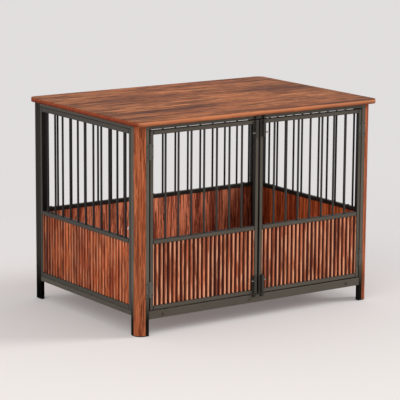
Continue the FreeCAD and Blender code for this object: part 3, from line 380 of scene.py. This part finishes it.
def painted_shade_low_and_rear(g, colour):
    """The legs get painted shade toward the floor and at the back of the crate, a little painted
    light further forward, and gloss that follows the same tone.
    """
    place = g.axes_of(g.position)
    # Painted shade toward the floor, and at the back, with a little painted light further forward.
    height = g.ramp(place["Z"], (0.05, 0.08), (0.15, 1.0))
    rear = g.ramp(place["Y"], (0.20, 1.25), (0.27, 0.3))
    leg_shade = g.toned(height, rear)
    g.link(g.math("MULTIPLY", leg_shade, COATING_GLOSS), g.shader.inputs["Specular IOR Level"])
    return g.toned(colour, leg_shade)


def plastic(name, colour):
    """Moulded black plastic with a fine texture."""
    g = Graph(name)
    texture = g.noise(g.stretched((900, 900, 900)), detail=3)
    shade = g.ramp(texture, (0.3, scaled(colour, 0.8)), (0.7, scaled(colour, 1.2)))
    g.link(shade, g.shader.inputs["Base Color"])
    g.shader.inputs["Roughness"].default_value = 0.62
    g.bump(texture, strength=0.2, distance=0.0003)
    return g.material


front_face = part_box("left_door_board")[0].y
side_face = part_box("left_side_board")[0].x
top_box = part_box("tabletop")

walnut_top = wood(
    "walnut_top", "X", (srgb(198, 122, 72), srgb(170, 98, 56), srgb(108, 56, 32)),
    pitch=0.6, lines=0.75, wander=0.3, gloss=0.06, face=edge_band_and_painted_light)
# The corner posts get painted shade toward the floor.
walnut_post = wood(
    "walnut_post", "Z", (srgb(246, 142, 90), srgb(220, 116, 70), srgb(142, 60, 34)),
    pitch=1.1, lines=0.65, offset=(3, 5, 1),
    face=painted_light_along("Z", (0.55, 0.52), (0.85, 0.62), (1.0, 0.65)))
# The back board gets painted light, strongest at its middle and left and less toward its right end.
walnut_back = wood(
    "walnut_back", "Z", (srgb(236, 146, 108), srgb(204, 112, 80), srgb(116, 52, 36)),
    lines=0.85, offset=(1, 8, 2),
    face=painted_light_along("X", (0.1, 1.7), (0.6, 1.85), (0.72, 1.65), (0.85, 0.95)))
# The door boards get painted shade in their grooves and painted highlights on their crests.
walnut_door = wood(
    "walnut_door_board", "Z", (srgb(212, 122, 82), srgb(180, 92, 58), srgb(112, 46, 27)),
    pitch=1.3, lines=0.65, offset=(7, 2, 3),
    face=groove_shade_and_crest_highlight("Y", front_face, strength=0.95))
# The side boards get painted shade toward the back, painted shade in their grooves, painted
# highlights on their crests and painted light on their plain backs.
walnut_side = wood(
    "walnut_side_board", "Z", (srgb(232, 124, 70), srgb(200, 96, 54), srgb(120, 46, 24)),
    pitch=1.3, lines=0.8, offset=(2, 6, 5),
    face=painted_light_along("Y", (0.2, 1.2), (0.8, 0.72),
                     face=groove_shade_and_crest_highlight("X", side_face, strength=0.5, rear_painted_light=1.6)))
walnut_floor = wood(
    "walnut_floor", "X", (srgb(170, 96, 66), srgb(138, 72, 50), srgb(86, 38, 26)),
    pitch=0.8, offset=(4, 1, 9))

FRAME_COLOUR = srgb(76, 70, 60)
FRAME_ROUGHNESS = 0.46
PLATED = {"grain": 600, "strength": 0.04}
# Painted shade along the joints of the side, back and door panels, and on their faces turned
# inward.
side_seam_shade = panel_seam_shade("left_side_infill_frame", "left_side_board", "left_side_bars", "Y")
back_seam_shade = panel_seam_shade("back_infill_frame", "back_board", "back_bars", "X")
door_seam_shade = panel_seam_shade("left_door_frame", "left_door_board", "left_door_bars", "X")

# The frame gets painted shade on faces turned inward.
frame_steel = steel("bronze_powder_coat", FRAME_COLOUR, FRAME_ROUGHNESS, face=painted_inner_shade)
# The side panels' frames get painted shade toward the back, along their joints and on faces turned
# inward.
side_steel = steel("side_panel_powder_coat", FRAME_COLOUR, FRAME_ROUGHNESS,
                   face=painted_light_along("Y", (0.2, 0.75), (0.8, 0.45), face=side_seam_shade))
back_steel = steel("back_panel_powder_coat", FRAME_COLOUR, FRAME_ROUGHNESS, face=back_seam_shade)
door_steel = steel("door_powder_coat", FRAME_COLOUR, FRAME_ROUGHNESS, face=door_seam_shade)
# The legs get painted shade toward the floor and at the back.
leg_steel = steel("leg_powder_coat", FRAME_COLOUR, 0.5, face=painted_shade_low_and_rear)
# The side and back bars get a darker copy of the door bars' coating, as painted shade.
bar_steel = steel("bar_powder_coat", srgb(22, 21, 20), 0.4)
door_bar_steel = steel("door_bar_powder_coat", srgb(46, 45, 41), 0.4)
hinge_steel = steel("hinge_coating", srgb(88, 86, 79), 0.42)
latch_steel = steel("latch_coating", srgb(50, 47, 42), 0.36)
screw_steel = steel("black_oxide", srgb(30, 29, 28), 0.42, metallic=0.3)
knob_steel = steel("dark_nickel_plate", srgb(132, 130, 126), 0.26, metallic=1.0, **PLATED)
panel_bolt_steel = steel("bright_nickel_plate", srgb(240, 238, 234), 0.3, metallic=0.5, **PLATED)
foot_plastic = plastic("foot_plastic", srgb(22, 22, 22))

BLACK_SCREWS = ("tabletop_screws", "corner_post_screws", "middle_rail_screws",
                "hinge_frame_screws", "keeper_screws", "left_door_hinge_screws",
                "right_door_hinge_screws", "left_door_board_screws", "right_door_board_screws",
                "left_bolt_guide_screws", "right_bolt_guide_screws")
# The screws of the floor supports have the frame's own coating.
COATED_SCREWS = ("floor_support_screws",)
FINISHES = {
    walnut_top: ("tabletop",),
    walnut_post: ("left_corner_post", "right_corner_post"),
    walnut_back: ("back_board",),
    walnut_door: ("left_door_board", "right_door_board"),
    walnut_side: ("left_side_board", "right_side_board"),
    walnut_floor: ("floor_board",),
    frame_steel: ("front_top_rail", "front_bottom_rail", "left_side_rails", "right_side_rails",
                  "back_rails", "floor_supports", "tabletop_tabs", *COATED_SCREWS),
    side_steel: ("left_side_infill_frame", "right_side_infill_frame"),
    back_steel: ("back_infill_frame",),
    door_steel: ("left_door_frame", "right_door_frame"),
    hinge_steel: ("hinge_frame_leaves", "left_door_hinge_leaves", "right_door_hinge_leaves",
                  "hinge_pins"),
    latch_steel: ("upper_left_bolt_guide", "lower_left_bolt_guide", "upper_right_bolt_guide",
                  "lower_right_bolt_guide", "bolt_keepers"),
    leg_steel: ("left_front_post", "right_front_post", "left_side_legs", "right_side_legs",
                "back_legs"),
    bar_steel: ("left_side_bars", "right_side_bars", "back_bars"),
    door_bar_steel: ("left_door_bars", "right_door_bars"),
    knob_steel: ("upper_left_bolt", "lower_left_bolt", "upper_right_bolt", "lower_right_bolt"),
    panel_bolt_steel: ("panel_bolts",),
    screw_steel: (*BLACK_SCREWS, "panel_bolt_washers"),
    foot_plastic: ("feet",),
}
for material, names in FINISHES.items():
    for name in names:
        nodes[name].data.materials.clear()
        nodes[name].data.materials.append(material)

# Cross recesses of the screws ---------------------------------------------------------------------

# Half the length and half the width of a cross, as shares of the radius of the screw's head.
RECESS_REACH = 0.56
RECESS_WIDTH = 0.15
# How far a cross stands above the head, so that it shows, and how deep it goes, in metres.
RECESS_RISE = 0.00004
RECESS_DEPTH = 0.0005
CROSS_CORNERS = 12
# Corners in the same cell of this grid, in metres, count as one corner.
GRID = 1e-5
# Points this near to a head's radius belong to its rim.
RIM_MARGIN = 1e-4
# The crosses are black, as painted shade of the recesses in the screws' heads.
recess_painted_shade = steel("recess_painted_shade", srgb(9, 9, 9), 0.7)


def solids_of(piece):
    """The corner points of each separate solid in a node, found through the edges between them."""
    mesh = piece.data
    names = [tuple(round(value / GRID) for value in vertex.co) for vertex in mesh.vertices]
    parent = {name: name for name in names}

    def root(name):
        while parent[name] != name:
            parent[name] = parent[parent[name]]
            name = parent[name]
        return name

    for edge in mesh.edges:
        first, second = (root(names[index]) for index in edge.vertices)
        parent[first] = second
    groups = {}
    for name in parent:
        groups.setdefault(root(name), []).append(Vector(name) * GRID)
    return groups.values()


def head_of(points):
    """A screw's head: the middle of its outer face, the way it faces and its radius."""
    low = Vector(min(point[axis] for point in points) for axis in range(3))
    high = Vector(max(point[axis] for point in points) for axis in range(3))
    size = high - low
    long_axis = max(range(3), key=lambda axis: size[axis])
    across = (long_axis + 1) % 3
    middle = (low + high) / 2
    radius = size[across] / 2
    rim = [point[long_axis] for point in points
           if abs(abs(point[across] - middle[across]) - radius) < RIM_MARGIN]
    sign = 1 if sum(rim) / len(rim) > middle[long_axis] else -1
    facing = Vector((0, 0, 0))
    facing[long_axis] = sign
    middle[long_axis] = high[long_axis] if sign > 0 else low[long_axis]
    return middle, facing, radius


def recess_corners(middle, facing, radius):
    """A cross sunk into a screw's head: the corners of its outer face, then the ones behind."""
    first = Vector((facing.y, facing.z, facing.x))
    second = facing.cross(first)
    reach, width = radius * RECESS_REACH, radius * RECESS_WIDTH
    outline = ((-width, reach), (-width, width), (-reach, width), (-reach, -width),
               (-width, -width), (-width, -reach), (width, -reach), (width, -width),
               (reach, -width), (reach, width), (width, width), (width, reach))
    outer = [middle + facing * RECESS_RISE + first * a + second * b for a, b in outline]
    return outer + [corner - facing * RECESS_DEPTH for corner in outer]


def recess_faces(start):
    """The faces of one closed cross, whose corners begin at start."""
    outer = range(start, start + CROSS_CORNERS)
    inner = range(start + CROSS_CORNERS, start + 2 * CROSS_CORNERS)
    sides = [[outer[k], outer[k - 1], inner[k - 1], inner[k]] for k in range(CROSS_CORNERS)]
    return [outer, inner[::-1], *sides]


for name in (*BLACK_SCREWS, *COATED_SCREWS):
    crosses = [recess_corners(*head_of(points)) for points in solids_of(nodes[name])]
    corners = [corner for cross in crosses for corner in cross]
    starts = range(0, len(corners), 2 * CROSS_CORNERS)
    mesh = bpy.data.meshes.new(name + "_recesses")
    mesh.from_pydata(corners, [], [face for start in starts for face in recess_faces(start)])
    mesh.materials.append(recess_painted_shade)
    recesses = bpy.data.objects.new(name + "_recesses", mesh)
    bpy.context.collection.objects.link(recesses)
    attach(recesses, body_of(nodes[name])[0])

# Floor and light ----------------------------------------------------------------------------------

FLOOR_HALF = 30.0
# The light that reaches the floor, and the share of its own tone that it shows in full shadow.
FLOOR_LIGHT = 1.02
FLOOR_GLOW = 0.19
# The floor's tone, a painted falloff of light, runs from near to far in this direction, by this
# share of its ramp per metre.
FLOOR_NEAR = srgb(240, 235, 232)
FLOOR_FAR = srgb(222, 220, 220)
FLOOR_RUN = (0.57, 0.82, 0)
FLOOR_SHARE = 0.25


def floor_paint():
    """Matt paint whose tone, a painted falloff of light, changes slowly from near to far, and a
    faint glow in place of bounced light, which lightens its shadows.
    """
    g = Graph("studio_floor")
    run = g.add("ShaderNodeVectorMath", operation="DOT_PRODUCT")
    g.link(g.position, run.inputs[0])
    run.inputs[1].default_value = FLOOR_RUN
    share = g.math("ADD", g.math("MULTIPLY", run.outputs["Value"], FLOOR_SHARE), 0.5)
    tint = g.ramp(share, (0.2, FLOOR_NEAR), (0.85, FLOOR_FAR))
    paint = (1 - FLOOR_GLOW) / FLOOR_LIGHT
    g.link(g.toned(tint, (paint, paint, paint)), g.shader.inputs["Base Color"])
    g.link(tint, g.shader.inputs["Emission Color"])
    g.shader.inputs["Emission Strength"].default_value = FLOOR_GLOW
    g.shader.inputs["Roughness"].default_value = 0.9
    g.shader.inputs["Specular IOR Level"].default_value = 0.0
    return g.material


floor_corners = [(-FLOOR_HALF, -FLOOR_HALF, 0), (FLOOR_HALF, -FLOOR_HALF, 0),
                 (FLOOR_HALF, FLOOR_HALF, 0), (-FLOOR_HALF, FLOOR_HALF, 0)]
floor_mesh = bpy.data.meshes.new("floor")
floor_mesh.from_pydata(floor_corners, [], [(0, 1, 2, 3)])
floor_mesh.materials.append(floor_paint())
floor = bpy.data.objects.new("floor", floor_mesh)
bpy.context.collection.objects.link(floor)

world = bpy.data.worlds.new("studio")
bpy.context.scene.world = world
world.use_nodes = True
world.node_tree.nodes["Background"].inputs["Color"].default_value = (*FLOOR_FAR, 1)


def direction(turn, rise):
    """A unit vector, by its turn from +X toward +Y and its rise, both in radians."""
    level = math.cos(rise)
    return Vector((math.cos(turn) * level, math.sin(turn) * level, math.sin(rise)))


def sun(name, azimuth, elevation, softness, strength):
    """A soft, distant light; azimuth runs from +X toward +Y, all angles in degrees."""
    light = bpy.data.lights.new(name, "SUN")
    light.energy = strength
    light.angle = math.radians(softness)
    source = bpy.data.objects.new(name, light)
    bpy.context.collection.objects.link(source)
    toward = direction(math.radians(azimuth), math.radians(elevation))
    source.rotation_euler = toward.to_track_quat("Z", "Y").to_euler()


sun("key", azimuth=-23, elevation=26, softness=22, strength=1.7)
sun("fill", azimuth=205, elevation=28, softness=50, strength=0.6)

# Camera -------------------------------------------------------------------------------------------

# The camera looks along +Y, turned by YAW, tilted down by PITCH and rolled by ROLL, in radians.
YAW = -0.60618
PITCH = 0.19608
ROLL = 0.00639
# The focal length and the width of the square picture, in pixels, and of the sensor, in mm.
FOCAL_PIXELS = 2054.23
IMAGE_PIXELS = 400
SENSOR_WIDTH = 36
# The target is a point above the origin, and how far it is right of, above and in front of the
# camera, in metres.
TARGET_HEIGHT = 0.333
TARGET_RIGHT, TARGET_UP, TARGET_AHEAD = 0.009322, -0.003462, 6.83806
CLIP_END = 200

forward = direction(YAW + math.pi / 2, -PITCH)
level_right = Vector((math.cos(YAW), math.sin(YAW), 0))
level_up = level_right.cross(forward)
right = math.cos(ROLL) * level_right + math.sin(ROLL) * level_up
up = math.cos(ROLL) * level_up - math.sin(ROLL) * level_right
target = Vector((0, 0, TARGET_HEIGHT))
place = target - TARGET_RIGHT * right - TARGET_UP * up - TARGET_AHEAD * forward
camera_data = bpy.data.cameras.new("camera")
camera_data.sensor_width = SENSOR_WIDTH
camera_data.lens = FOCAL_PIXELS / IMAGE_PIXELS * SENSOR_WIDTH
camera_data.clip_end = CLIP_END
camera = bpy.data.objects.new("camera", camera_data)
bpy.context.collection.objects.link(camera)
turned = Matrix((right, up, -forward)).transposed().to_4x4()
camera.matrix_world = Matrix.Translation(place) @ turned
bpy.context.scene.camera = camera
bpy.context.scene.view_settings.view_transform = "Standard"
